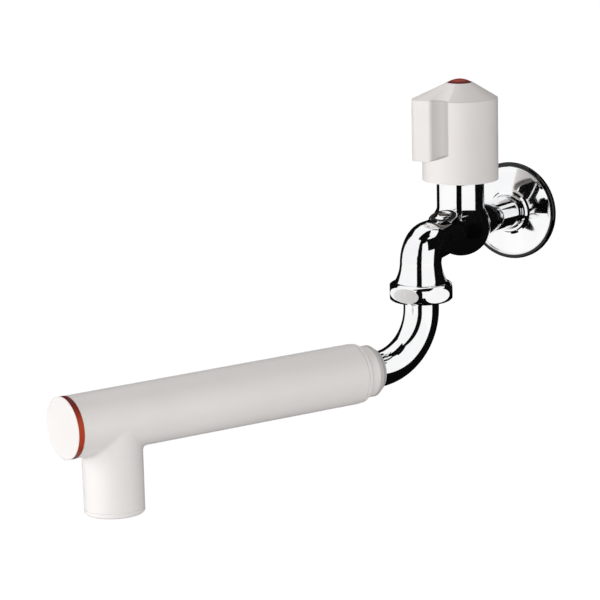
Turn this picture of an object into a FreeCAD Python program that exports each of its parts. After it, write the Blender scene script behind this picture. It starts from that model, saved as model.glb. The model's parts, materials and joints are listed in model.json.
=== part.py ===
import FreeCAD, Part
import math
import os

# Swivel-spout wall tap with a thick plastic filter arm. Millimetres.
# Origin: on the inlet axis, in the plane of the wall. +Y goes into the wall, the tap stands out
# towards -Y, +Z is up, and X is to the right for someone who faces the wall.

# Where the three axes stand
VALVE_REACH = 64.5          # wall to the upright axis of the valve
SPOUT_REACH = 112.8         # wall to the upright axis of the swivel spout
ARM_SWING = 26.0            # degrees that the spout is swung to the -X side at rest
ARM_DROP = 0.9              # degrees that the arm slopes down towards its outlet

# Wall end
INLET_THREAD_R = 10.48      # G 1/2 male thread, crest radius
INLET_THREAD_LENGTH = 14.0  # behind the wall plane
INLET_BORE_R = 6.6
SHANK_R = 9.6
ROSETTE_R = 28.5
ROSETTE_RIM = 2.8
ROSETTE_HUB_R = 12.4
ROSETTE_HUB_DEPTH = 6.4
ROSETTE_SHEET = 1.2

# Cast body
BELLY_R = 17.0
BELLY_Z = 1.5
NECK_R = 13.6
NECK_TOP = 30.0
NECK_BORE_R = 10.45
NECK_ROUND = 5.0
SHANK_ROUND = 4.0
BRANCH_ROOT_R = 10.4
BRANCH_ROUND = 8.0
BRANCH_ROOT_Z = 0.9
BRANCH_FALL = 2.7           # degrees that the forward branch slopes down
ELBOW_R = 11.7
ELBOW_BEND = 10.5
FLARE_R = 14.8
FLARE_Z = -21.7
LEG_END = -27.2
OUTLET_THREAD_R = 13.2      # G 3/4 male thread under the elbow
SOCKET_R = 10.25
SOCKET_TOP = -14.0
WATERWAY_R = 4.6
FEED_R = 3.6                # channel from the inlet bore to the space under the seat
FEED_Z = -4.3
SEAT_BORE_R = 5.0
SEAT_TOP = 5.0

# Plug on the body's forward arm
PLUG_Y = -85.3              # middle of the boss's rim
PLUG_Z = 10.6
PLUG_TILT = 17.0
PLUG_BOSS_R = 8.7
PLUG_BOSS_ROUND = 0.9
COUNTERBORE_R = 7.5
COUNTERBORE_DEPTH = 1.3
SPOT_FACE_R = 9.1           # clearance turned round the boss
SPOT_FACE_DEPTH = 0.8
PLUG_R = 5.1
PLUG_EDGE = 0.3             # straight side of the head under its dome
PLUG_FLAT_R = 2.2           # flat middle of the domed head
PLUG_CROWN = 1.8            # top of the head above the boss's rim
PLUG_SHANK_R = 4.0
PLUG_RING = 1.5
BRANCH_DIP = 1.2            # shallow saddle in front of the boss
BRANCH_DIP_R = 60.0
BRANCH_DIP_Y = -96.0

# Union nut
NUT_FLATS = 35.0
NUT_CORNER_R = 19.2
NUT_END_R = 15.7
NUT_TOP = -22.0
NUT_BOTTOM = -32.6
NUT_FLOOR = 2.4

# Spout pipe
PIPE_R = 10.0
PIPE_WALL = 1.2
BEND_R = 31.0
SPIGOT_TOP = -15.0
O_RING_HEIGHTS = (-18.3, -23.2)
SPIGOT_FLANGE_TOP = -27.5
SPIGOT_FLANGE = 1.5

# White arm, measured along its own axis from the rear end of its tube
ARM_REAR = 47.0             # level distance from the spout axis to the rear end of the tube
ARM_REAR_Z = -68.5
ARM_R = 16.9
ARM_WALL = 2.5
ARM_LENGTH = 186.0          # rear end of the tube to the face of the end cap
CAP_R = 17.1
CAP_RIM = 0.7
RED_RING = 3.6
OUTLET_BACK = 29.75         # outlet axis behind the face of the end cap
OUTLET_DROP = 50.75         # arm axis to the outlet's mouth
OUTLET_TOP_R = 16.6
OUTLET_MOUTH_R = 16.4
OUTLET_ROUND = 3.0          # round where the outlet leaves the tube
OUTLET_BORE_R = 13.6
OUTLET_RING = 3.0
COLLAR_R = 14.5
COLLAR_REAR = -13.2
COLLAR_FRONT = -3.4
STUB_R = 12.0
STUB_END = -7.0

# Handle, heights above the inlet axis
HANDLE_R = 21.7
HANDLE_BOTTOM = 28.8
HANDLE_LEDGE = 40.6
HANDLE_SHOULDER = 75.5
HANDLE_TOP = 84.4
HANDLE_WALL = 2.2
WING_BEARING = 220.0        # degrees from +X
WING_R = 26.9
NOSE_EDGE = 24.0            # degrees either side of the wing where its flanks meet the circle
NOSE_TIP_HALF = 4.2
SCOOP_EDGE = 61.0           # degrees either side of the wing where the scoops run out
SCOOP_DEPTH = 2.6           # below the chord of the scoop
SCOOP_RUN_OUT = 4.8         # rise of the scoop's floor from the wing to where it runs out
INDEX_R = 6.8

# Headwork
SPINDLE_R = 4.6
SPLINE_LOW = 52.0
SPLINE_TOP = 62.0
JUMPER_R = 7.6
BONNET_TOP = 47.0
RUNNING_GAP = 0.06
LIFT = 5.0                  # travel of the jumper
DISC_TOP = 10.2             # jumper disc, tap shut
JUMPER_BORE_FLOOR = 13.0
JUMPER_TOP = 27.5
GUIDE_TOP = 34.0

X_AXIS = FreeCAD.Vector(1, 0, 0)
Z_AXIS = FreeCAD.Vector(0, 0, 1)


def point(x, y, z):
    return FreeCAD.Vector(x, y, z)


def rod(radius, low, high):
    """Upright cylinder on the local Z axis between two heights."""
    return Part.makeCylinder(radius, high - low, point(0, 0, low), Z_AXIS)


def sleeve(outer, inner, low, high):
    """Upright tube on the local Z axis between two heights."""
    return rod(outer, low, high).cut(rod(inner, low - 1, high + 1))


def spun(edges):
    """Solid of revolution about local Z from the edges of a closed outline."""
    solid = Part.Face(Part.Wire(edges)).revolve(point(0, 0, 0), Z_AXIS, 360)
    if solid.Volume < 0:
        solid.reverse()
    return solid


def turned(outline):
    """Solid of revolution about local Z from a closed outline of (radius, height) corners."""
    corners = [point(radius, 0, height) for radius, height in outline]
    return spun(Part.makePolygon(corners + [corners[0]]).Edges)


def hexagon(across_flats, low, high, first_corner=0.0):
    """Upright hexagonal prism on the local Z axis."""
    corner_r = across_flats / 2 / math.cos(math.radians(30))
    corners = []
    for step in range(7):
        angle = math.radians(first_corner + 60 * step)
        corners.append(point(corner_r * math.cos(angle), corner_r * math.sin(angle), low))
    return Part.Face(Part.makePolygon(corners)).extrude(point(0, 0, high - low))


def torus(ring_radius, cord_radius, height):
    return Part.makeTorus(ring_radius, cord_radius, point(0, 0, height), Z_AXIS)


def soften(solid, radius, chooses):
    """Round the edges that the chooser accepts."""
    edges = [edge for edge in solid.Edges if chooses(edge)]
    return solid.makeFillet(radius, edges)


def at_valve(solid):
    solid.translate(point(0, -VALVE_REACH, 0))
    return solid


def at_spout(solid):
    solid.translate(point(0, -SPOUT_REACH, 0))
    return solid


def from_wall(solid):
    """Turn a solid made on local Z so that it stands out of the wall, towards -Y."""
    solid.rotate(point(0, 0, 0), X_AXIS, 90)
    return solid


# The body's forward branch and the pivot of the bend at its end
fall = math.radians(BRANCH_FALL)
BRANCH_ALONG = point(0, -math.cos(fall), -math.sin(fall))
BRANCH_UP = point(0, -math.sin(fall), math.cos(fall))
BRANCH_ROOT = point(0, -VALVE_REACH, BRANCH_ROOT_Z)
BRANCH_LENGTH = (SPOUT_REACH - VALVE_REACH - ELBOW_BEND * (1 - math.sin(fall))) / math.cos(fall)
BRANCH_END = BRANCH_ROOT + BRANCH_ALONG * BRANCH_LENGTH
ELBOW_PIVOT = BRANCH_END - BRANCH_UP * ELBOW_BEND

# Directions of the arm: along it, and square to it in the upright plane
swing = math.radians(ARM_SWING)
drop = math.radians(ARM_DROP)
LEVEL = point(-math.sin(swing), -math.cos(swing), 0)
ALONG = LEVEL * math.cos(drop) - Z_AXIS * math.sin(drop)
ACROSS_UP = LEVEL * math.sin(drop) + Z_AXIS * math.cos(drop)
ARM_ORIGIN = point(0, -SPOUT_REACH, ARM_REAR_Z) + LEVEL * ARM_REAR
OUTLET_ORIGIN = ARM_ORIGIN + ALONG * (ARM_LENGTH - OUTLET_BACK)


def placed(solid, origin, z_direction, x_direction):
    """Carry a solid from its local frame to one with the given Z and X directions."""
    y_direction = z_direction.cross(x_direction)
    matrix = FreeCAD.Matrix(
        x_direction.x, y_direction.x, z_direction.x, origin.x,
        x_direction.y, y_direction.y, z_direction.y, origin.y,
        x_direction.z, y_direction.z, z_direction.z, origin.z,
        0, 0, 0, 1)
    solid.Placement = FreeCAD.Placement(matrix).multiply(solid.Placement)
    return solid


def on_arm(solid):
    """Local Z runs along the arm from the rear end of its tube, local X is up."""
    return placed(solid, ARM_ORIGIN, ALONG, ACROSS_UP)


def on_outlet(solid):
    """Local Z is up the outlet's axis from the arm's axis, local X runs along the arm."""
    return placed(solid, OUTLET_ORIGIN, ACROSS_UP, ALONG)


def on_plug(solid):
    """Local Z stands square on the plug's seat."""
    tilt = math.radians(PLUG_TILT)
    up = point(0, -math.sin(tilt), math.cos(tilt))
    return placed(solid, point(0, PLUG_Y, PLUG_Z), up, X_AXIS)


def horn(ball_r, shaft_r, fillet_r, length, slope=0.0):
    """Shaft on local Z that grows out of a ball at the origin with a tangent round at its root."""
    lean = math.sqrt(1 + slope ** 2)
    offset = shaft_r + fillet_r * lean
    square = (offset * slope) ** 2 - lean ** 2 * (offset ** 2 - (ball_r + fillet_r) ** 2)
    centre_z = (math.sqrt(square) - offset * slope) / lean ** 2
    centre = point(offset + slope * centre_z, 0, centre_z)
    on_ball = centre * (ball_r / (ball_r + fillet_r))
    on_shaft = centre - point(1, 0, -slope) * (fillet_r / lean)
    towards = (on_ball - centre) + (on_shaft - centre)
    middle = centre + towards * (fillet_r / towards.Length)
    root = Part.Arc(on_ball, middle, on_shaft).toShape()
    rest = Part.makePolygon([
        on_shaft, point(shaft_r + slope * length, 0, length), point(0, 0, length),
        point(0, 0, 0), on_ball])
    return spun([root] + rest.Edges)


def body_casting():
    belly_centre = point(0, -VALVE_REACH, BELLY_Z)
    belly = Part.makeSphere(BELLY_R, belly_centre)
    neck = at_valve(horn(BELLY_R, NECK_R, NECK_ROUND, NECK_TOP - BELLY_Z))
    neck.translate(point(0, 0, BELLY_Z))
    shank = horn(BELLY_R, SHANK_R, SHANK_ROUND, VALVE_REACH - 4)
    shank_end = point(0, -4, 0)
    shank_run = shank_end - belly_centre
    shank = placed(shank, belly_centre, shank_run * (1 / shank_run.Length), X_AXIS)
    branch_slope = (ELBOW_R - BRANCH_ROOT_R) / BRANCH_LENGTH
    branch = horn(BELLY_R, BRANCH_ROOT_R, BRANCH_ROUND, BRANCH_LENGTH, branch_slope)
    branch = placed(branch, BRANCH_ROOT, BRANCH_ALONG, X_AXIS)
    elbow = elbow_bend()
    leg = at_spout(leg_outline())
    boss = on_plug(plug_boss())
    thread = from_wall(turned([
        (0, -INLET_THREAD_LENGTH),
        (INLET_THREAD_R - 1, -INLET_THREAD_LENGTH),
        (INLET_THREAD_R, 1 - INLET_THREAD_LENGTH),
        (INLET_THREAD_R, 0.4),
        (INLET_THREAD_R - 0.6, 0.8),
        (INLET_THREAD_R - 0.6, 1.2),
        (INLET_THREAD_R, 1.6),
        (INLET_THREAD_R, 5.0),
        (SHANK_R - 0.4, 5.8),
        (0, 5.8)]))
    solid = belly
    for limb in (shank, branch, elbow, leg, thread):
        solid = solid.fuse(limb)
    for relief in (branch_dip(), on_plug(rod(SPOT_FACE_R, -SPOT_FACE_DEPTH, 6.0))):
        solid = solid.cut(relief)
    for limb in (neck, boss):
        solid = solid.fuse(limb)
    for cavity in casting_cavities():
        solid = solid.cut(cavity)
    return solid


def elbow_bend():
    """Bend, tighter on its centre line than the pipe is thick, so its inside is a corner."""
    half = math.sqrt(ELBOW_R ** 2 - ELBOW_BEND ** 2)
    left = ELBOW_PIVOT - X_AXIS * half
    right = ELBOW_PIVOT + X_AXIS * half
    crown = BRANCH_END + BRANCH_UP * ELBOW_R
    rim = Part.Arc(left, crown, right).toShape()
    section = Part.Face(Part.Wire([rim, Part.makeLine(right, left)]))
    bend = section.revolve(ELBOW_PIVOT, X_AXIS, 90 - BRANCH_FALL)
    if bend.Volume < 0:
        bend.reverse()
    return bend


def leg_outline():
    """Down leg under the elbow: a bell that ends over the union nut, and the thread below it."""
    top = ELBOW_PIVOT.z
    bell_start = point(ELBOW_R, 0, top)
    bell_middle = point((ELBOW_R + FLARE_R) / 2 - 0.5, 0, (top + FLARE_Z) / 2 - 0.6)
    bell_end = point(FLARE_R, 0, FLARE_Z)
    bell = Part.Arc(bell_start, bell_middle, bell_end).toShape()
    rest = Part.makePolygon([
        bell_end,
        point(OUTLET_THREAD_R, 0, FLARE_Z),
        point(OUTLET_THREAD_R, 0, LEG_END + 1),
        point(OUTLET_THREAD_R - 1, 0, LEG_END),
        point(0, 0, LEG_END),
        point(0, 0, top),
        bell_start])
    return spun([bell] + rest.Edges)


def plug_boss():
    """Round boss for the plug, with a rounded rim at local Z 0."""
    low = -9.0
    rim_start = point(PLUG_BOSS_R, 0, -PLUG_BOSS_ROUND)
    rim_end = point(PLUG_BOSS_R - PLUG_BOSS_ROUND, 0, 0)
    slant = PLUG_BOSS_ROUND * (1 - math.sqrt(0.5))
    rim_middle = point(PLUG_BOSS_R - slant, 0, -slant)
    rim = Part.Arc(rim_start, rim_middle, rim_end).toShape()
    rest = Part.makePolygon([
        rim_end, point(0, 0, 0), point(0, 0, low), point(PLUG_BOSS_R, 0, low), rim_start])
    return spun([rim] + rest.Edges)


def branch_dip():
    """Shallow saddle across the top of the branch: the lowest slice of a barrel that lies along X."""
    floor_z = BRANCH_END.z + ELBOW_R - BRANCH_DIP
    barrel = Part.makeCylinder(
        BRANCH_DIP_R, 2 * ELBOW_R, point(-ELBOW_R, BRANCH_DIP_Y, floor_z + BRANCH_DIP_R), X_AXIS)
    reach = math.sqrt(2 * BRANCH_DIP_R * BRANCH_DIP)
    slice_box = Part.makeBox(
        2 * ELBOW_R, 2 * reach, 2 * BRANCH_DIP, point(-ELBOW_R, BRANCH_DIP_Y - reach, floor_z))
    return barrel.common(slice_box)


def casting_cavities():
    inlet = from_wall(rod(INLET_BORE_R, -INLET_THREAD_LENGTH - 1, VALVE_REACH - 14.5))
    feed = from_wall(rod(FEED_R, VALVE_REACH - 15, VALVE_REACH - 4))
    feed.translate(point(0, 0, FEED_Z))
    lower = at_valve(rod(9.5, -9.5, -0.5))
    seat_hole = at_valve(rod(SEAT_BORE_R, -1, SEAT_TOP + 1))
    upper = at_valve(sleeve(10.8, SEAT_BORE_R + 1.6, 3.5, SEAT_TOP))
    chamber = at_valve(rod(10.8, SEAT_TOP, 13.0))
    neck_bore = at_valve(rod(NECK_BORE_R, 12.0, NECK_TOP + 1))
    way_start = point(0, -VALVE_REACH - 8.6, 6.2)
    way_end = point(0, -SPOUT_REACH, BRANCH_END.z - 4)
    way = Part.makeCylinder(WATERWAY_R, (way_end - way_start).Length, way_start, way_end - way_start)
    turn = Part.makeSphere(7.5, way_end)
    down = at_spout(rod(7.5, SOCKET_TOP - 1, way_end.z))
    socket = at_spout(rod(SOCKET_R, LEG_END - 1, SOCKET_TOP))
    plug_hole = on_plug(rod(PLUG_SHANK_R, -7.0, 0.0))
    counterbore = on_plug(rod(COUNTERBORE_R, -COUNTERBORE_DEPTH, 1.0))
    return [
        inlet, feed, lower, seat_hole, upper, chamber, neck_bore, way, turn, down, socket,
        plug_hole, counterbore]


def wall_rosette():
    """Shallow pressed plate: rolled rim, flat bead, gentle cone and a hub round the shank."""
    rim_r = ROSETTE_RIM / 2
    front = [
        (ROSETTE_R, 0),
        (ROSETTE_R, rim_r)]
    for step in range(1, 9):
        angle = math.radians(180 * step / 9)
        front.append((ROSETTE_R - rim_r + rim_r * math.cos(angle), rim_r + rim_r * math.sin(angle)))
    front += [
        (ROSETTE_R - ROSETTE_RIM - 0.2, 1.3),
        (ROSETTE_R - ROSETTE_RIM - 1.6, 1.7),
        (ROSETTE_HUB_R + 1.2, 4.2),
        (ROSETTE_HUB_R, 4.8),
        (ROSETTE_HUB_R, ROSETTE_HUB_DEPTH - 0.7),
        (ROSETTE_HUB_R - 0.7, ROSETTE_HUB_DEPTH)]
    bore_r = INLET_THREAD_R + 0.05
    back = [
        (bore_r, ROSETTE_HUB_DEPTH),
        (bore_r, 0.6),
        (ROSETTE_HUB_R, 0.6),
        (ROSETTE_HUB_R + 1.4, 4.2 - ROSETTE_SHEET),
        (ROSETTE_R - ROSETTE_RIM - 1.6, 0.5),
        (ROSETTE_R - ROSETTE_RIM, 0)]
    return from_wall(turned(front + back))


def elbow_plug():
    """Round blind plug with a domed head that is flat in the middle, and a plain shank."""
    seat = PLUG_RING - COUNTERBORE_DEPTH
    dome_low = seat + PLUG_EDGE
    run = PLUG_R - PLUG_FLAT_R
    rise = PLUG_CROWN - dome_low
    dome_r = (run ** 2 + rise ** 2) / (2 * rise)
    half_turn = math.asin(run / dome_r) / 2
    flat_end = point(PLUG_FLAT_R, 0, PLUG_CROWN)
    edge = point(PLUG_R, 0, dome_low)
    shoulder = point(
        PLUG_FLAT_R + dome_r * math.sin(half_turn), 0, PLUG_CROWN - dome_r * (1 - math.cos(half_turn)))
    dome = Part.Arc(edge, shoulder, flat_end).toShape()
    rest = Part.makePolygon([
        flat_end, point(0, 0, PLUG_CROWN), point(0, 0, seat), point(PLUG_R, 0, seat), edge])
    head = spun([dome] + rest.Edges)
    shank = rod(PLUG_SHANK_R - 0.02, seat - 4.2, seat + 0.2)
    return on_plug(head.fuse(shank))


def elbow_plug_ring():
    low = -COUNTERBORE_DEPTH
    return on_plug(sleeve(COUNTERBORE_R - 0.08, PLUG_SHANK_R + 0.1, low, low + PLUG_RING))


def union_nut():
    """Hexagonal union nut with both ends turned to a generous round."""
    prism = hexagon(NUT_FLATS, NUT_BOTTOM, NUT_TOP, 0)
    middle = (NUT_TOP + NUT_BOTTOM) / 2
    half = (NUT_TOP - NUT_BOTTOM) / 2
    side = Part.Arc(
        point(NUT_END_R, 0, NUT_BOTTOM),
        point(NUT_CORNER_R, 0, middle),
        point(NUT_END_R, 0, middle + half)).toShape()
    rest = Part.makePolygon([
        point(NUT_END_R, 0, NUT_TOP),
        point(0, 0, NUT_TOP),
        point(0, 0, NUT_BOTTOM),
        point(NUT_END_R, 0, NUT_BOTTOM)])
    barrel = spun([side] + rest.Edges)
    bore = rod(OUTLET_THREAD_R + 0.1, NUT_BOTTOM + NUT_FLOOR, NUT_TOP + 1)
    hole = rod(PIPE_R + 0.5, NUT_BOTTOM - 1, NUT_TOP)
    return at_spout(prism.common(barrel).cut(bore).cut(hole))


def bonnet():
    """Headwork shell: male thread in the neck, hexagon above it and a barrel for the gland."""
    bottom = DISC_TOP + LIFT + 0.8
    outer = rod(NECK_BORE_R - 0.05, bottom, NECK_TOP)
    hexagon_top = 37.0
    flange = hexagon(22.0, NECK_TOP + 0.6, hexagon_top, 15)
    washer_land = rod(10.0, NECK_TOP, NECK_TOP + 0.6)
    barrel = rod(9.0, hexagon_top, BONNET_TOP)
    solid = outer.fuse([washer_land, flange, barrel])
    guide_r = JUMPER_R + RUNNING_GAP
    guide = rod(guide_r, bottom - 1, GUIDE_TOP)
    guide = guide.common(flats(guide_r, bottom - 1, GUIDE_TOP, RUNNING_GAP))
    throat = rod(5.0 + RUNNING_GAP, GUIDE_TOP - 1, hexagon_top)
    gland_bore = rod(6.9, 36.0, BONNET_TOP + 1)
    return at_valve(solid.cut(guide).cut(throat).cut(gland_bore))


def flats(radius, low, high, gap=0.0):
    """Slab that gives a round carriage its two guiding flats."""
    across = 2 * (JUMPER_R - 1.2 + gap)
    return Part.makeBox(across, 2 * radius + 2, high - low, point(-across / 2, -radius - 1, low))


def bonnet_ring():
    return at_valve(sleeve(NECK_R - 0.6, 10.05, NECK_TOP, NECK_TOP + 0.6))


def gland_nut():
    thread = rod(6.85, 41.3, BONNET_TOP)
    head = hexagon(17.0, BONNET_TOP, 50.0, 15)
    return at_valve(thread.fuse(head).cut(rod(SPINDLE_R + RUNNING_GAP, 40.0, 51.0)))


def spindle_packing():
    return at_valve(sleeve(6.85, SPINDLE_R + RUNNING_GAP, 38.4, 41.3))


def spindle():
    """Non-rising spindle: driving thread, thrust collar, packing land and splined top."""
    driver = rod(SPINDLE_R, JUMPER_BORE_FLOOR + LIFT + 0.8, 33.0)
    shaft = rod(5.0, 33.0, 36.1)
    collar = rod(6.5, 36.1, 38.1)
    land = rod(SPINDLE_R, 38.1, SPLINE_LOW)
    splined = splines(3.1, 4.0, SPLINE_LOW, SPLINE_TOP)
    hole = rod(1.7, SPLINE_LOW + 1, SPLINE_TOP + 1)
    return at_valve(driver.fuse([shaft, collar, land, splined]).cut(hole))


def splines(root, crest, low, high, count=18):
    """Prism with a saw of small teeth, used for the spindle's top and the handle's hub."""
    corners = []
    for step in range(count):
        for part, radius in ((0.0, root), (0.5, crest)):
            angle = 2 * math.pi * (step + part) / count
            corners.append(point(radius * math.cos(angle), radius * math.sin(angle), low))
    wire = Part.makePolygon(corners + [corners[0]])
    return Part.Face(wire).extrude(point(0, 0, high - low))


def jumper():
    """Carriage that the spindle lifts: guided by two flats, threaded inside, disc below."""
    carriage = rod(JUMPER_R, DISC_TOP, JUMPER_TOP).common(flats(JUMPER_R, DISC_TOP, JUMPER_TOP))
    disc = rod(7.2, DISC_TOP - 2.0, DISC_TOP)
    stud = rod(1.5, 3.4, DISC_TOP - 2.0)
    bore = rod(SPINDLE_R + RUNNING_GAP, JUMPER_BORE_FLOOR, JUMPER_TOP + 1)
    return at_valve(carriage.fuse([disc, stud]).cut(bore))


def tap_washer():
    return at_valve(sleeve(6.8, 1.55, SEAT_TOP + 0.15, DISC_TOP - 2.0))


def washer_nut():
    return at_valve(hexagon(5.5, 3.2, SEAT_TOP + 0.15, 15).cut(rod(1.55, 3.0, 6.0)))


def grip_outline(height, shrink=0.0):
    """Closed plan of the grip: a circle with a nose along local +X and a scoop on each side of it."""
    circle_r = HANDLE_R - shrink
    nose_edge = math.radians(NOSE_EDGE)
    scoop_edge = math.radians(SCOOP_EDGE)
    start = point(circle_r * math.cos(scoop_edge), circle_r * math.sin(scoop_edge), height)
    shoulder = point(circle_r * math.cos(nose_edge), circle_r * math.sin(nose_edge), height)
    tip = point(WING_R - shrink, NOSE_TIP_HALF - 0.6 * shrink, height)
    chord = shoulder - start
    inward = point(chord.y, -chord.x, 0)
    inward = inward * (1 / inward.Length)
    if inward.dot(point(start.x, start.y, 0)) > 0:
        inward = inward * -1
    hollow = (start + shoulder) * 0.5 + inward * SCOOP_DEPTH

    def mirrored(corner):
        return point(corner.x, -corner.y, corner.z)

    return [
        Part.Arc(start, point(-circle_r, 0, height), mirrored(start)).toShape(),
        Part.Arc(mirrored(start), mirrored(hollow), mirrored(shoulder)).toShape(),
        Part.makeLine(mirrored(shoulder), mirrored(tip)),
        Part.Arc(mirrored(tip), point(WING_R + 0.8 - shrink, 0, height), tip).toShape(),
        Part.makeLine(tip, shoulder),
        Part.Arc(shoulder, hollow, start).toShape()]


def crown_ring(corners, radius, height):
    """Circle cut into arcs that face the corners of the grip's plan."""
    bearings = [math.atan2(corner.y, corner.x) for corner in corners]
    arcs = []
    for index, first in enumerate(bearings):
        last = bearings[(index + 1) % len(bearings)]
        if last < first:
            last += 2 * math.pi
        places = [
            point(radius * math.cos(angle), radius * math.sin(angle), height)
            for angle in (first, (first + last) / 2, last)]
        arcs.append(Part.Arc(*places).toShape())
    return Part.Wire(arcs)


def handle():
    """Hollow handle: round skirt, winged grip with a scoop each side, hipped conical top."""
    skirt = rod(HANDLE_R, HANDLE_BOTTOM, HANDLE_LEDGE)
    foot = Part.Face(Part.Wire(grip_outline(HANDLE_LEDGE)))
    grip = foot.extrude(point(0, 0, HANDLE_SHOULDER - HANDLE_LEDGE))
    eaves = grip_outline(HANDLE_SHOULDER)
    corners = [edge.firstVertex().Point for edge in eaves]
    crown = crown_ring(corners, INDEX_R + 0.6, HANDLE_TOP)
    roof = Part.makeLoft([Part.Wire(eaves), crown], True, True)
    run_out_x = HANDLE_R * math.cos(math.radians(SCOOP_EDGE))
    nose_x = HANDLE_R * math.cos(math.radians(NOSE_EDGE))
    ledge = Part.Face(Part.makePolygon([
        point(0, -HANDLE_R, HANDLE_LEDGE - 2),
        point(HANDLE_R, -HANDLE_R, HANDLE_LEDGE - 2),
        point(HANDLE_R, -HANDLE_R, HANDLE_LEDGE),
        point(nose_x, -HANDLE_R, HANDLE_LEDGE + 0.2),
        point(run_out_x, -HANDLE_R, HANDLE_LEDGE + SCOOP_RUN_OUT),
        point(0, -HANDLE_R, HANDLE_LEDGE + SCOOP_RUN_OUT),
        point(0, -HANDLE_R, HANDLE_LEDGE - 2)])).extrude(point(0, 2 * HANDLE_R, 0))
    ledge = ledge.common(rod(HANDLE_R, HANDLE_BOTTOM, HANDLE_TOP))
    solid = skirt.fuse([grip, roof, ledge]).removeSplitter()
    solid.rotate(point(0, 0, 0), Z_AXIS, WING_BEARING)
    cavity_r = 15.4
    inner = turned([
        (0, HANDLE_BOTTOM - 1),
        (HANDLE_R - HANDLE_WALL, HANDLE_BOTTOM - 1),
        (HANDLE_R - HANDLE_WALL, HANDLE_LEDGE - 2),
        (cavity_r, HANDLE_LEDGE + 2),
        (cavity_r, HANDLE_SHOULDER - 3),
        (9.0, HANDLE_SHOULDER - 1),
        (0, HANDLE_SHOULDER - 1)])
    solid = solid.cut(inner)
    hub = rod(7.0, SPLINE_LOW + 0.2, HANDLE_SHOULDER)
    ribs = [rib(angle) for angle in (0, 90, 180, 270)]
    solid = solid.fuse([hub] + ribs)
    solid = solid.cut(splines(3.15, 4.06, SPLINE_LOW - 2, SPLINE_TOP + 0.5))
    solid = solid.cut(rod(2.1, SPLINE_LOW - 2, HANDLE_TOP + 1))
    solid = solid.cut(rod(4.4, HANDLE_SHOULDER - 2, HANDLE_TOP + 1))
    solid = solid.cut(rod(INDEX_R + 0.05, HANDLE_TOP - 1.6, HANDLE_TOP + 1))
    return at_valve(solid)


def rib(angle):
    web = Part.makeBox(9.0, 1.6, 18.0, point(6.0, -0.8, HANDLE_SHOULDER - 19))
    web.rotate(point(0, 0, 0), Z_AXIS, angle)
    return web


def index_button():
    """Domed red index button snapped into the top of the handle."""
    dome_rise = 2.0
    rim = point(INDEX_R, 0, HANDLE_TOP)
    top = point(0, 0, HANDLE_TOP + dome_rise)
    curve_r = (INDEX_R ** 2 + dome_rise ** 2) / (2 * dome_rise)
    half = math.asin(INDEX_R / curve_r) / 2
    middle = point(curve_r * math.sin(half), 0, top.z - curve_r * (1 - math.cos(half)))
    dome = Part.Arc(rim, middle, top).toShape()
    rest = Part.makePolygon([
        top, point(0, 0, HANDLE_TOP - 1.5), point(INDEX_R, 0, HANDLE_TOP - 1.5), rim])
    button = spun([dome] + rest.Edges)
    peg = sleeve(4.3, 3.2, HANDLE_TOP - 5.0, HANDLE_TOP - 1.5)
    return at_valve(button.fuse(peg))


def handle_screw():
    head = rod(3.6, HANDLE_SHOULDER - 2, HANDLE_SHOULDER + 0.8)
    slot = Part.makeBox(8.0, 0.9, 1.4, point(-4.0, -0.45, HANDLE_SHOULDER - 0.4))
    shank = rod(1.65, SPLINE_LOW + 2, HANDLE_SHOULDER - 2)
    return at_valve(head.fuse(shank).cut(slot))


def pipe_path(start_z, end_along):
    """Centre line of the spout pipe: down, one bend, then along the arm."""
    half_turn = math.radians(90 - ARM_DROP) / 2
    tangent = BEND_R * math.tan(half_turn)
    axis_foot = point(0, -SPOUT_REACH, 0)
    corner_z = ARM_REAR_Z + ARM_REAR * math.tan(drop)
    corner = axis_foot + Z_AXIS * corner_z
    bend_start = corner + Z_AXIS * tangent
    bend_end = corner + ALONG * tangent
    inward = (ALONG + Z_AXIS)
    inward = inward * (1 / inward.Length)
    middle = corner + inward * (BEND_R / math.cos(half_turn) - BEND_R)
    start = axis_foot + Z_AXIS * start_z
    end = ARM_ORIGIN + ALONG * end_along
    return Part.Wire([
        Part.makeLine(start, bend_start),
        Part.Arc(bend_start, middle, bend_end).toShape(),
        Part.makeLine(bend_end, end)])


def spout_pipe():
    top = SPIGOT_FLANGE_TOP - SPIGOT_FLANGE
    path = pipe_path(top, 6.0)
    ring_centre = point(0, -SPOUT_REACH, top)
    solids = []
    for radius in (PIPE_R, PIPE_R - PIPE_WALL):
        ring = Part.Wire([Part.makeCircle(radius, ring_centre, Z_AXIS)])
        solids.append(path.makePipeShell([ring], True, False))
    return solids[0].cut(solids[1])


def spout_spigot():
    """Turned brass collar fixed to the pipe's top, with two grooves for its O-rings."""
    flange_bottom = SPIGOT_FLANGE_TOP - SPIGOT_FLANGE
    sleeve_r = SOCKET_R - RUNNING_GAP
    solid = rod(sleeve_r, SPIGOT_FLANGE_TOP, SPIGOT_TOP)
    solid = solid.fuse(rod(12.4, flange_bottom, SPIGOT_FLANGE_TOP))
    solid = solid.fuse(rod(PIPE_R - PIPE_WALL - 0.03, flange_bottom - 5, flange_bottom))
    for groove_z in O_RING_HEIGHTS:
        solid = solid.cut(sleeve(sleeve_r + 1, sleeve_r - 1.9, groove_z - 1.2, groove_z + 1.2))
    return at_spout(solid.cut(rod(7.2, flange_bottom - 6, SPIGOT_TOP + 1)))


def spigot_o_rings():
    rings = [sleeve(SOCKET_R - 0.08, SOCKET_R - 1.9, z - 1.0, z + 1.0) for z in O_RING_HEIGHTS]
    return at_spout(Part.makeCompound(rings))


def slip_washer():
    top = SPIGOT_FLANGE_TOP - SPIGOT_FLANGE
    return at_spout(sleeve(12.6, PIPE_R + 0.15, top - 0.9, top))


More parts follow.
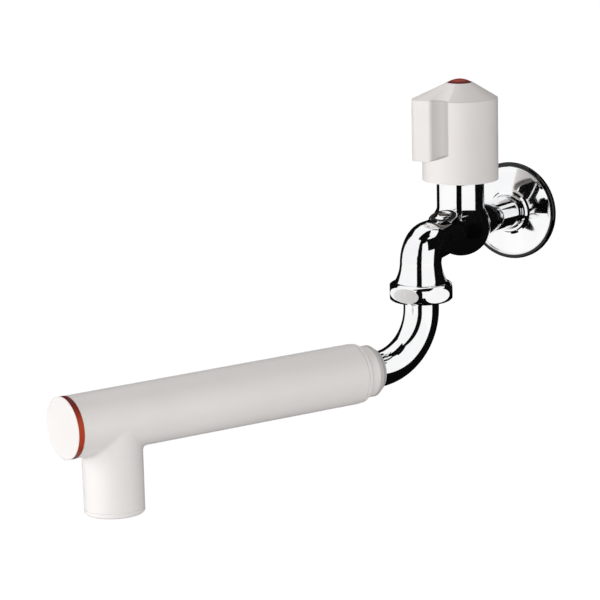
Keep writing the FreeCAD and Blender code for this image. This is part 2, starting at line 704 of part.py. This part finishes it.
def collar_nut():
    """Round plastic nut that closes the joint between the pipe and the arm."""
    solid = turned([
        (PIPE_R + 0.3, COLLAR_REAR - 1.6),
        (11.6, COLLAR_REAR - 1.6),
        (12.2, COLLAR_REAR - 1.0),
        (12.2, COLLAR_REAR),
        (COLLAR_R - 1.6, COLLAR_REAR),
        (COLLAR_R, COLLAR_REAR + 2.2),
        (COLLAR_R, COLLAR_FRONT - 0.5),
        (COLLAR_R - 0.5, COLLAR_FRONT),
        (STUB_R + 0.1, COLLAR_FRONT),
        (STUB_R + 0.1, COLLAR_REAR + 2.0),
        (PIPE_R + 0.3, COLLAR_REAR + 2.0)])
    return on_arm(solid)


def compression_ring():
    return on_arm(turned([
        (PIPE_R + 0.02, COLLAR_REAR + 2.1), (11.6, COLLAR_REAR + 2.1),
        (11.6, COLLAR_REAR + 2.6), (10.6, COLLAR_REAR + 3.7), (PIPE_R + 0.02, COLLAR_REAR + 3.7)]))


def pipe_seal():
    return on_arm(sleeve(11.8, PIPE_R + 0.02, COLLAR_REAR + 3.8, STUB_END))


def arm_rear_ring():
    """Thin lock ring between the collar nut and the rear end of the arm's tube."""
    return on_arm(turned([
        (STUB_R + 0.1, -3.3), (ARM_R - 1.5, -3.3), (ARM_R - 0.3, -2.2),
        (ARM_R - 0.3, -0.9), (ARM_R - 1.1, -0.5), (STUB_R + 0.1, -0.5)]))


def arm_housing():
    """Fat tube with a rear stub, a tee outlet near the front and an open front end."""
    front = ARM_LENGTH - CAP_RIM - RED_RING
    mouth = -OUTLET_DROP + OUTLET_RING
    branch = Part.makeCone(OUTLET_MOUTH_R, OUTLET_TOP_R, -mouth - 2, point(0, 0, mouth), Z_AXIS)
    solid = on_arm(rod(ARM_R, 0.4, front)).fuse(on_outlet(branch))
    solid = soften(solid, OUTLET_ROUND, is_saddle)
    rear = turned([(0, -0.4), (ARM_R - 0.8, -0.4), (ARM_R, 0.4), (0, 0.4)])
    stub = rod(STUB_R, STUB_END, 0.4)
    solid = solid.fuse([on_arm(rear), on_arm(stub)])
    inner = ARM_R - ARM_WALL
    hollow = on_arm(rod(inner, 3.0, front + 1).fuse(rod(PIPE_R + 0.15, STUB_END - 1, 4)))
    bore = on_outlet(rod(OUTLET_BORE_R, mouth - 1, 0))
    return solid.cut(hollow).cut(bore)


def is_saddle(edge):
    """True for the curve where the outlet meets the tube."""
    box = edge.BoundBox
    centre = box.Center
    return (centre - OUTLET_ORIGIN).Length < ARM_R + 4 and edge.Length > 20 and box.ZLength > 4


def sealing_ring():
    front = ARM_LENGTH - CAP_RIM
    back = front - RED_RING
    outer = ARM_R + 0.1
    return on_arm(turned([
        (14.55, back), (outer - 0.35, back), (outer, back + 0.5), (outer, front - 0.4),
        (outer - 0.35, front), (14.55, front)]))


def end_cap():
    """Screw-in cap: flat face with a rounded edge, and a skirt inside the tube."""
    face = ARM_LENGTH
    shoulder = face - CAP_RIM
    skirt_end = face - 12.5
    skirt_r = ARM_R - ARM_WALL - 0.05
    solid = turned([
        (0, face), (CAP_R - 0.8, face), (CAP_R - 0.25, face - 0.25), (CAP_R, face - 0.5),
        (CAP_R, shoulder), (skirt_r, shoulder), (skirt_r, skirt_end),
        (skirt_r - 2, skirt_end), (skirt_r - 2, face - 3), (0, face - 3)])
    return on_arm(solid)


def cartridge_rear_cap():
    disc = rod(12.2, 12.0, 16.0)
    for turn in (30, 150, 270):
        lug = Part.makeBox(4.0, 3.0, 4.0, point(10.3, -1.5, 12.0))
        lug.rotate(point(0, 0, 0), Z_AXIS, turn)
        disc = disc.fuse(lug)
    return on_arm(disc.cut(rod(11.7, 14.0, 17.0)).fuse(rod(3.6, 13.0, 17.0)))


def cartridge_core():
    """Perforated tube that carries the filtered water to the front chamber."""
    solid = sleeve(5.2, 3.8, 14.0, 130.0)
    for row in range(9):
        cross = Part.makeCylinder(1.6, 12.0, point(-6, 0, 22 + 12 * row), X_AXIS)
        cross.rotate(point(0, 0, 0), Z_AXIS, 45 * (row % 2))
        solid = solid.cut(cross)
        cross.rotate(point(0, 0, 0), Z_AXIS, 90)
        solid = solid.cut(cross)
    return on_arm(solid)


def cartridge_medium():
    return on_arm(sleeve(11.5, 5.3, 14.1, 127.9))


def cartridge_front_cap():
    disc = rod(14.2, 126.0, 134.0)
    disc = disc.cut(rod(11.6, 125.0, 128.0)).cut(rod(5.25, 125.0, 130.0)).cut(rod(4.0, 125.0, 135.0))
    return on_arm(disc.cut(sleeve(16.0, 12.3, 129.8, 132.4)))


def cartridge_o_ring():
    return on_arm(torus(13.35, 1.02, 131.1))


def flow_straightener():
    """Round grid that calms the water just inside the outlet."""
    top = -OUTLET_DROP + OUTLET_RING + 9.0
    solid = rod(OUTLET_BORE_R - 0.05, top - 4.0, top)
    pitch = 4.4
    hole = 1.75
    for row in range(-3, 4):
        for column in range(-3, 4):
            x = pitch * (column + 0.5 * row)
            y = pitch * row * math.sin(math.radians(60))
            if math.hypot(x, y) < OUTLET_BORE_R - hole - 0.5:
                solid = solid.cut(Part.makeCylinder(hole, 6.0, point(x, y, top - 5.0), Z_AXIS))
    return on_outlet(solid)


def outlet_ring():
    """Mouth ring with a spigot that holds the flow straightener up."""
    low = -OUTLET_DROP
    mouth_r = OUTLET_MOUTH_R
    return on_outlet(turned([
        (12.6, low), (mouth_r - 0.8, low), (mouth_r, low + 0.8), (mouth_r, low + OUTLET_RING - 0.3),
        (mouth_r - 0.3, low + OUTLET_RING), (13.55, low + OUTLET_RING), (13.55, low + 8.0),
        (12.2, low + 8.0)]))


PIECES = {
    "body_casting": body_casting,
    "wall_rosette": wall_rosette,
    "elbow_plug": elbow_plug,
    "elbow_plug_ring": elbow_plug_ring,
    "union_nut": union_nut,
    "bonnet": bonnet,
    "bonnet_ring": bonnet_ring,
    "gland_nut": gland_nut,
    "spindle_packing": spindle_packing,
    "spindle": spindle,
    "handle": handle,
    "index_button": index_button,
    "handle_screw": handle_screw,
    "jumper": jumper,
    "tap_washer": tap_washer,
    "washer_nut": washer_nut,
    "spout_pipe": spout_pipe,
    "spout_spigot": spout_spigot,
    "spigot_o_rings": spigot_o_rings,
    "slip_washer": slip_washer,
    "collar_nut": collar_nut,
    "compression_ring": compression_ring,
    "pipe_seal": pipe_seal,
    "arm_rear_ring": arm_rear_ring,
    "arm_housing": arm_housing,
    "sealing_ring": sealing_ring,
    "end_cap": end_cap,
    "cartridge_rear_cap": cartridge_rear_cap,
    "cartridge_core": cartridge_core,
    "cartridge_medium": cartridge_medium,
    "cartridge_front_cap": cartridge_front_cap,
    "cartridge_o_ring": cartridge_o_ring,
    "flow_straightener": flow_straightener,
    "outlet_ring": outlet_ring,
}

os.makedirs("parts", exist_ok=True)
for name, make in PIECES.items():
    shape = make()
    if not shape.isValid():
        print("not valid:", name)
    print(name, "solids", len(shape.Solids), "volume", round(shape.Volume, 1))
    shape.exportStep("parts/" + name + ".step")
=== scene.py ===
import json
import math

import bpy
from mathutils import Matrix, Vector

# Swivel-spout wall tap: looks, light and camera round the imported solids. Metres.

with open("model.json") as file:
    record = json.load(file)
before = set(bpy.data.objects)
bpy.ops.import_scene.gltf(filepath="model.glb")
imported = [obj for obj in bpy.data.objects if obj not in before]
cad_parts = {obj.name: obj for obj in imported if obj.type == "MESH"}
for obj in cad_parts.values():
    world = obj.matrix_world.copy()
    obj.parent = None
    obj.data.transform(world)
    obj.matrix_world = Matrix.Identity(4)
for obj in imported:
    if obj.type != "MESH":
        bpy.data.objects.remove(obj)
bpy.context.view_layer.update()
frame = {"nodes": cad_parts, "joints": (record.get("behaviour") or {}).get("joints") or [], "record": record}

# Axes of the valve and of the spout's swivel
JOINTS = {joint["name"]: joint for joint in frame["joints"]}
VALVE = JOINTS["handle_turn"]["pos_m"]
SPOUT = JOINTS["spout_swivel"]["pos_m"]

# Camera, as fitted to the view. Azimuth 0 looks along +Y, and the angles are in degrees.
VIEW_AZIMUTH = 30.77
VIEW_ELEVATION = 11.83
VIEW_ROLL = 1.10
VIEW_PLACE = (0.898694, -1.755190, 0.360590)
LENS = 204.144
SENSOR = 36.0

CREASE_ANGLE = 32.0           # degrees; steeper edges stay sharp

# Painted shade in the handle's finger scoops: radius where they are deep and at their rim, their heights and
# their blur
SCOOP_DEEP_R = 0.0200
SCOOP_RIM_R = 0.0215
SCOOP_LOW = 0.0410
SCOOP_HIGH = 0.0757
SCOOP_BLUR = 0.0005
SCOOP_SHADE_COVER = 0.8

# Rear end of the arm's tube, the arm's direction, and where along it the painted shade on the collar nut's
# rear begins
ARM_START = (-0.0206, -0.1550, -0.0685)
ARM_ALONG = (-0.4383, -0.8987, -0.0157)
COLLAR_SHADE_FROM = -0.0084
COLLAR_SHADE_BLUR = 0.0008
COLLAR_SHADE_COVER = 0.65

# Painted dark reflection on the wall plate's rolled rim, and painted shade on the red button's edge and on
# the red ring's top and bottom
RIM_FROM_R = 0.0260
RIM_BLUR = 0.0004
BUTTON_FLAT_R = 0.0042
BUTTON_EDGE_R = 0.0056
RING_MIDDLE = (0.0, 0.0, -0.0714)
RING_BRIGHT = 0.0055
RING_DARK = 0.0150

# Directions that count in a distance
ROUND_Y = (1.0, 0.0, 1.0)
ROUND_Z = (1.0, 1.0, 0.0)
ALONG_Z = (0.0, 0.0, 1.0)

WHITE = (1.0, 1.0, 1.0)
WARM_WHITE = (1.0, 0.99, 0.98)
FLOOR_GREY = (0.95, 0.95, 0.95)
FLAG_BLACK = (0.004, 0.004, 0.004)
# The next four colours are painted: a dark reflection on the wall plate's rim, shade in the handle's scoops
# and on the collar nut's rear, shade on the red button's edge and on the red ring's top and bottom
PAINTED_RIM_BLACK = (0.035, 0.035, 0.037)
PAINTED_SHADE_GREY = (0.42, 0.41, 0.40)
BUTTON_SHADE_RED = (0.12, 0.008, 0.006)
RING_SHADE_RED = (0.16, 0.004, 0.002)


# Node helpers

def feed(tree, socket, value):
    """Link an output to a socket, or set the socket to a plain value. A plain colour has three numbers."""
    if isinstance(value, bpy.types.NodeSocket):
        tree.links.new(value, socket)
    elif socket.type == "RGBA":
        socket.default_value = (*value, 1.0)
    else:
        socket.default_value = value


def feed_all(tree, node, **inputs):
    for key, value in inputs.items():
        feed(tree, node.inputs[key.replace("_", " ")], value)


def add_node(tree, kind, **inputs):
    node = tree.nodes.new(kind)
    feed_all(tree, node, **inputs)
    return node


def maths(tree, operation, first, second):
    node = tree.nodes.new("ShaderNodeMath")
    node.operation = operation
    feed(tree, node.inputs[0], first)
    feed(tree, node.inputs[1], second)
    return node.outputs[0]


def vector_maths(tree, operation, vector, fixed=(0.0, 0.0, 0.0)):
    """Node that works on a vector output and, where it takes two, a fixed vector."""
    node = tree.nodes.new("ShaderNodeVectorMath")
    node.operation = operation
    feed(tree, node.inputs[0], vector)
    node.inputs[1].default_value = fixed
    return node


def split(tree, vector):
    return add_node(tree, "ShaderNodeSeparateXYZ", Vector=vector)


def off_axis(tree, coords, centre, keep):
    """Distance from an axis through the centre; keep holds 1 for the directions that count."""
    shift = vector_maths(tree, "SUBTRACT", coords, centre)
    flat = vector_maths(tree, "MULTIPLY", shift.outputs["Vector"], keep)
    return vector_maths(tree, "LENGTH", flat.outputs["Vector"]).outputs["Value"]


def noise(tree, coords, scale, detail=3.0, rough=0.5):
    node = add_node(
        tree, "ShaderNodeTexNoise", Vector=coords, Scale=scale, Detail=detail, Roughness=rough)
    return node.outputs["Fac"]


def remap(tree, value, low, high, to_low, to_high):
    node = add_node(
        tree, "ShaderNodeMapRange", Value=value, From_Min=low, From_Max=high, To_Min=to_low, To_Max=to_high)
    return node.outputs["Result"]


def blend_colors(tree, share, first, second):
    node = tree.nodes.new("ShaderNodeMix")
    node.data_type = "RGBA"
    feed(tree, node.inputs[0], share)
    feed(tree, node.inputs[6], first)
    feed(tree, node.inputs[7], second)
    return node.outputs[2]


def bump(tree, shader, height, strength, distance):
    node = add_node(tree, "ShaderNodeBump", Height=height, Strength=strength, Distance=distance)
    tree.links.new(node.outputs["Normal"], shader.inputs["Normal"])


# Where painted shade or a painted dark reflection covers a piece: 0 for not at all, 1 for fully

def painted_rim_reflection(tree, coords):
    """Painted dark reflection: the wall plate's rolled rim is painted dark all the way round."""
    reach = off_axis(tree, coords, (0.0, 0.0, 0.0), ROUND_Y)
    return remap(tree, reach, RIM_FROM_R, RIM_FROM_R + RIM_BLUR, 0.0, 1.0)


# Painted shade: the red button darkens towards its edge.
def painted_button_edge_shade(tree, coords):
    reach = off_axis(tree, coords, VALVE, ROUND_Z)
    return remap(tree, reach, BUTTON_FLAT_R, BUTTON_EDGE_R, 0.0, 1.0)


def painted_ring_shade(tree, coords):
    """Painted shade: the red ring is darker towards its top and bottom."""
    reach = off_axis(tree, coords, RING_MIDDLE, ALONG_Z)
    return remap(tree, reach, RING_BRIGHT, RING_DARK, 0.0, 1.0)


def painted_scoop_shade(tree, coords):
    """Painted shade: the handle is greyer in its finger scoops."""
    height = split(tree, coords).outputs["Z"]
    reach = off_axis(tree, coords, VALVE, ROUND_Z)
    inside = remap(tree, reach, SCOOP_DEEP_R, SCOOP_RIM_R, 1.0, 0.0)
    above = remap(tree, height, SCOOP_LOW, SCOOP_LOW + SCOOP_BLUR, 0.0, 1.0)
    below = remap(tree, height, SCOOP_HIGH, SCOOP_HIGH + SCOOP_BLUR, 1.0, 0.0)
    between = maths(tree, "MULTIPLY", above, below)
    return maths(tree, "MULTIPLY", maths(tree, "MULTIPLY", inside, between), SCOOP_SHADE_COVER)


def painted_collar_shade(tree, coords):
    """Painted shade: the collar nut is greyer on its rear half."""
    from_tube = vector_maths(tree, "SUBTRACT", coords, ARM_START)
    along = vector_maths(tree, "DOT_PRODUCT", from_tube.outputs["Vector"], ARM_ALONG)
    return remap(tree, along.outputs["Value"], COLLAR_SHADE_FROM, COLLAR_SHADE_FROM - COLLAR_SHADE_BLUR, 0.0, COLLAR_SHADE_COVER)


# Materials of the object. A painted dark mark, painted shade or a painted dark reflection, is its colour and
# the function that says where it covers.

def new_material(name):
    material = bpy.data.materials.new(name)
    material.use_nodes = True
    tree = material.node_tree
    coords = tree.nodes.new("ShaderNodeTexCoord").outputs["Object"]
    return material, tree, tree.nodes["Principled BSDF"], coords


def with_painted_dark(tree, coords, color, painted_dark):
    if painted_dark is None:
        return color
    painted_color, cover = painted_dark
    return blend_colors(tree, cover(tree, coords), color, painted_color)


def chrome_material(name, painted_dark=None):
    """Polished plating: a slow waviness from hand buffing and faint smears."""
    material, tree, shader, coords = new_material(name)
    smear = noise(tree, coords, 55.0, 4.0, 0.6)
    tint = remap(tree, smear, 0.35, 0.7, 0.0, 1.0)
    color = blend_colors(tree, tint, (0.95, 0.953, 0.96), (0.89, 0.895, 0.905))
    feed_all(
        tree, shader, Metallic=1.0,
        Base_Color=with_painted_dark(tree, coords, color, painted_dark),
        Roughness=remap(tree, smear, 0.3, 0.75, 0.025, 0.075))
    bump(tree, shader, noise(tree, coords, 45.0, 1.5, 0.4), 0.35, 0.0006)
    return material


def plastic_material(name, light, dark, rough_low, rough_high, shine=0.5, painted_dark=None):
    """Moulded plastic: slight cloudiness, uneven gloss from handling and a fine moulding grain."""
    material, tree, shader, coords = new_material(name)
    cloud = noise(tree, coords, 28.0, 4.0, 0.55)
    color = blend_colors(tree, remap(tree, cloud, 0.3, 0.7, 0.0, 1.0), light, dark)
    wear = noise(tree, coords, 90.0, 5.0, 0.6)
    feed_all(
        tree, shader, Specular_IOR_Level=shine,
        Base_Color=with_painted_dark(tree, coords, color, painted_dark),
        Roughness=remap(tree, wear, 0.3, 0.7, rough_low, rough_high))
    bump(tree, shader, noise(tree, coords, 1400.0, 2.0, 0.5), 0.25, 0.00006)
    return material


def brass_material():
    """Machined brass with fine turning marks round the upright axis."""
    material, tree, shader, coords = new_material("brass")
    mottle = noise(tree, coords, 160.0, 4.0)
    feed_all(
        tree, shader, Metallic=1.0,
        Base_Color=blend_colors(tree, mottle, (0.80, 0.62, 0.30), (0.66, 0.48, 0.21)),
        Roughness=remap(tree, mottle, 0.3, 0.7, 0.22, 0.38))
    flattened = add_node(tree, "ShaderNodeMapping", Vector=coords, Scale=(40.0, 40.0, 2500.0))
    bump(tree, shader, noise(tree, flattened.outputs["Vector"], 1.0, 2.0), 0.25, 0.00008)
    return material


def steel_material():
    material, tree, shader, coords = new_material("steel")
    mottle = noise(tree, coords, 300.0, 4.0)
    feed_all(
        tree, shader, Metallic=1.0,
        Base_Color=blend_colors(tree, mottle, (0.66, 0.66, 0.67), (0.5, 0.5, 0.51)),
        Roughness=remap(tree, mottle, 0.3, 0.7, 0.25, 0.4))
    return material


def rubber_material():
    material, tree, shader, coords = new_material("rubber")
    cloud = noise(tree, coords, 200.0, 4.0)
    feed_all(
        tree, shader, Specular_IOR_Level=0.15,
        Base_Color=blend_colors(tree, cloud, (0.012, 0.012, 0.013), (0.028, 0.027, 0.026)),
        Roughness=remap(tree, cloud, 0.3, 0.7, 0.6, 0.8))
    bump(tree, shader, noise(tree, coords, 900.0, 3.0), 0.3, 0.0001)
    return material


def medium_material():
    """Wound filter fibre."""
    material, tree, shader, coords = new_material("filter_medium")
    strands = noise(tree, coords, 600.0, 5.0, 0.7)
    feed_all(
        tree, shader, Roughness=0.9,
        Base_Color=blend_colors(tree, strands, (0.92, 0.90, 0.84), (0.78, 0.75, 0.67)))
    bump(tree, shader, strands, 0.8, 0.0004)
    return material


# Lighter and darker shade of each plastic
ARM_WHITES = ((0.87, 0.845, 0.83), (0.84, 0.81, 0.795))
HANDLE_WHITES = ((0.83, 0.80, 0.785), (0.80, 0.765, 0.75))
BUTTON_REDS = ((0.38, 0.048, 0.028), (0.32, 0.04, 0.024))
RING_REDS = ((0.54, 0.07, 0.022), (0.46, 0.05, 0.015))
NATURAL_WHITES = ((0.86, 0.84, 0.78), (0.80, 0.78, 0.71))

MATERIALS = {
    "chrome": chrome_material("chrome"),
    "brass": brass_material(),
    "white_plastic": plastic_material("white_plastic", *ARM_WHITES, 0.33, 0.46),
    "red_plastic": plastic_material(
        "red_plastic", *BUTTON_REDS, 0.3, 0.42, 0.12, (BUTTON_SHADE_RED, painted_button_edge_shade)),
    "red_ring_plastic": plastic_material(
        "red_ring_plastic", *RING_REDS, 0.3, 0.42, 0.2, (RING_SHADE_RED, painted_ring_shade)),
    "natural_plastic": plastic_material("natural_plastic", *NATURAL_WHITES, 0.4, 0.55),
    "rubber": rubber_material(),
    "steel": steel_material(),
    "filter_medium": medium_material(),
}

# Nodes that look different from the others of their slot: painted dark reflection on the wall plate's rim,
# painted shade on the handle's scoops and on the collar nut's rear
SPECIAL = {
    "wall_rosette": chrome_material("chrome_plate", (PAINTED_RIM_BLACK, painted_rim_reflection)),
    "handle": plastic_material(
        "handle_plastic", *HANDLE_WHITES, 0.33, 0.46, painted_dark=(PAINTED_SHADE_GREY, painted_scoop_shade)),
    "collar_nut": plastic_material(
        "collar_plastic", *ARM_WHITES, 0.36, 0.5, painted_dark=(PAINTED_SHADE_GREY, painted_collar_shade)),
}

for row in frame["record"]["subparts"]:
    node = frame["nodes"][row["node"]]
    node.data.materials.clear()
    node.data.materials.append(SPECIAL.get(row["node"], MATERIALS[row["material_slot"]]))
    for polygon in node.data.polygons:
        polygon.use_smooth = True
    node.data.set_sharp_from_angle(angle=math.radians(CREASE_ANGLE))


# Studio: floor, and black cards that only reflections see

FLOOR_Z = -3.2
FLOOR_REACH = 30.0
FLOOR_LIFT = 0.62             # glow that brings the lit floor up to white
CARD_STEPS = 24
CARD_RADIUS = 2.0

# Name, bearings from and to, and heights from and to. Bearings are degrees to the right of the
# camera's side, heights degrees above level, both seen from the spout's swivel.
CARDS = (
    ("flag_gap", (-23, 3), (-89, 70)),
    ("flag_right", (73, 140), (-89, 40)),
    ("flag_rear_right", (140, 180), (-89, 36)),
    ("flag_rear_left", (-180, -128), (-89, 40)),
    ("flag_low_front", (3, 73), (-89, -20)),
    ("flag_low_left", (-128, -23), (-89, -58)),
    ("flag_top", (-60, 120), (66, 89)),
    ("flag_upper_front", (3, 45), (53, 66)),
    ("flag_upper_right", (45, 73), (60, 66)),
)

# Small cards keep the belly dark. The neck looks out through the gap between the first two and
# below the third. Name, distance from the valve's axis, and heights from and to, in metres.
CLOSE_BEARINGS = (2, 66)
CLOSE_CARDS = (
    ("flag_belly_low", 0.030, (-0.0160, 0.0095)),
    ("flag_belly_high", 0.030, (0.0258, 0.0600)),
    ("flag_belly_far", 0.080, (0.0155, 0.0750)),
)


def stage_material(name):
    """Empty material and what its surface is linked to."""
    material = bpy.data.materials.new(name)
    material.use_nodes = True
    tree = material.node_tree
    tree.nodes.clear()
    return material, tree, tree.nodes.new("ShaderNodeOutputMaterial").inputs["Surface"]


def background_rays(tree):
    """1 for rays that show the background: from the camera, off metal or through something clear."""
    path = tree.nodes.new("ShaderNodeLightPath")
    seen = maths(tree, "MAXIMUM", path.outputs["Is Camera Ray"], path.outputs["Is Glossy Ray"])
    return maths(tree, "MAXIMUM", seen, path.outputs["Is Transmission Ray"])


def floor_material():
    """Pale floor that renders white, keeps the shadow, and shows white in the metal too."""
    material, tree, surface = stage_material("floor")
    lift = maths(tree, "MULTIPLY", background_rays(tree), FLOOR_LIFT)
    glow = add_node(tree, "ShaderNodeEmission", Color=WHITE, Strength=lift)
    matt = add_node(tree, "ShaderNodeBsdfDiffuse", Color=FLOOR_GREY)
    both = tree.nodes.new("ShaderNodeAddShader")
    tree.links.new(glow.outputs[0], both.inputs[0])
    tree.links.new(matt.outputs[0], both.inputs[1])
    tree.links.new(both.outputs[0], surface)
    return material


def flag_material():
    material, tree, surface = stage_material("black_flag")
    matt = add_node(tree, "ShaderNodeBsdfDiffuse", Color=FLAG_BLACK)
    tree.links.new(matt.outputs[0], surface)
    return material


def stage_mesh(name, rows, material):
    """Surface through rows of points, for the studio round the object."""
    width = len(rows[0])
    faces = []
    for row in range(len(rows) - 1):
        for first in range(row * width, (row + 1) * width - 1):
            faces.append((first, first + 1, first + width + 1, first + width))
    mesh = bpy.data.meshes.new(name)
    mesh.from_pydata([point for points in rows for point in points], [], faces)
    mesh.materials.append(material)
    thing = bpy.data.objects.new(name, mesh)
    bpy.context.scene.collection.objects.link(thing)
    return thing


def reflection_card(name, rows, material):
    card = stage_mesh(name, rows, material)
    card.visible_camera = False
    card.visible_diffuse = False
    card.visible_shadow = False
    card.visible_transmission = False


def angles(first, last):
    """Even steps from one angle to the other, from degrees to radians."""
    return [math.radians(first + (last - first) * step / CARD_STEPS) for step in range(CARD_STEPS + 1)]


def turns(bearings):
    first, last = bearings
    return angles(VIEW_AZIMUTH + first, VIEW_AZIMUTH + last)


def far_card(name, bearings, heights, material):
    """Part of a ball round the place where the spout's axis passes the height of the inlet."""
    rows = []
    for up in angles(*heights):
        reach = CARD_RADIUS * math.cos(up)
        height = CARD_RADIUS * math.sin(up)
        rows.append([
            (reach * math.sin(turn), SPOUT[1] - reach * math.cos(turn), height)
            for turn in turns(bearings)])
    reflection_card(name, rows, material)


def close_card(name, radius, heights, material):
    """Part of an upright tube round the valve."""
    rows = [
        [(radius * math.sin(turn), VALVE[1] - radius * math.cos(turn), height)
         for turn in turns(CLOSE_BEARINGS)]
        for height in heights]
    reflection_card(name, rows, material)


stage_mesh(
    "floor",
    [[(-FLOOR_REACH, side, FLOOR_Z), (FLOOR_REACH, side, FLOOR_Z)] for side in (-FLOOR_REACH, FLOOR_REACH)],
    floor_material())

flag = flag_material()
for card_name, card_bearings, card_heights in CARDS:
    far_card(card_name, card_bearings, card_heights, flag)
for card_name, card_radius, card_heights in CLOSE_CARDS:
    close_card(card_name, card_radius, card_heights, flag)


# Lights: name, watts, side and place. They aren't seen in the metal.

LIGHT_TARGET = (-0.03, -0.16, -0.03)
LIGHTS = (
    ("key", 15.5, 1.2, (-1.4, -1.5, 0.1)),
    ("fill", 14.5, 1.4, (0.9, -1.95, 0.0)),
    ("edge", 16.0, 1.2, (-1.35, 1.0, 1.25)),
)


def soft_light(name, power, side, place):
    light = bpy.data.lights.new(name, "AREA")
    light.energy = power
    light.shape = "SQUARE"
    light.size = side
    lamp = bpy.data.objects.new(name, light)
    bpy.context.scene.collection.objects.link(lamp)
    lamp.location = place
    lamp.rotation_mode = "QUATERNION"
    lamp.rotation_quaternion = (Vector(place) - Vector(LIGHT_TARGET)).to_track_quat("Z", "Y")
    lamp.visible_camera = False
    lamp.visible_glossy = False


for light_row in LIGHTS:
    soft_light(*light_row)


# World: white where the background shows, and for the rest a soft light that is weaker from above

SKY_AT_LEVEL = 0.88
SKY_AT_TOP = 0.20

world = bpy.data.worlds.new("studio")
bpy.context.scene.world = world
world.use_nodes = True
sky_tree = world.node_tree
sky_tree.nodes.clear()
sky_height = split(sky_tree, sky_tree.nodes.new("ShaderNodeTexCoord").outputs["Generated"]).outputs["Z"]
soft = add_node(
    sky_tree, "ShaderNodeBackground", Color=WARM_WHITE,
    Strength=remap(sky_tree, sky_height, 0.0, 1.0, SKY_AT_LEVEL, SKY_AT_TOP))
white = add_node(sky_tree, "ShaderNodeBackground", Color=WHITE, Strength=1.0)
chosen = sky_tree.nodes.new("ShaderNodeMixShader")
sky_tree.links.new(background_rays(sky_tree), chosen.inputs[0])
sky_tree.links.new(soft.outputs[0], chosen.inputs[1])
sky_tree.links.new(white.outputs[0], chosen.inputs[2])
world_out = sky_tree.nodes.new("ShaderNodeOutputWorld")
sky_tree.links.new(chosen.outputs[0], world_out.inputs["Surface"])


# Camera

azimuth = math.radians(VIEW_AZIMUTH)
elevation = math.radians(VIEW_ELEVATION)
roll = math.radians(VIEW_ROLL)
back = Vector((
    math.sin(azimuth) * math.cos(elevation), -math.cos(azimuth) * math.cos(elevation), math.sin(elevation)))
level = Vector((math.cos(azimuth), math.sin(azimuth), 0.0))
upright = back.cross(level)
right = level * math.cos(roll) - upright * math.sin(roll)
top = level * math.sin(roll) + upright * math.cos(roll)
camera_data = bpy.data.cameras.new("camera")
camera_data.lens = LENS
camera_data.sensor_width = SENSOR
camera_data.clip_start = 0.05
camera_data.clip_end = 200.0
camera = bpy.data.objects.new("camera", camera_data)
bpy.context.scene.collection.objects.link(camera)
camera.matrix_world = Matrix((
    (right.x, top.x, back.x, VIEW_PLACE[0]),
    (right.y, top.y, back.y, VIEW_PLACE[1]),
    (right.z, top.z, back.z, VIEW_PLACE[2]),
    (0.0, 0.0, 0.0, 1.0)))
bpy.context.scene.camera = camera
bpy.context.scene.view_settings.view_transform = "Standard"
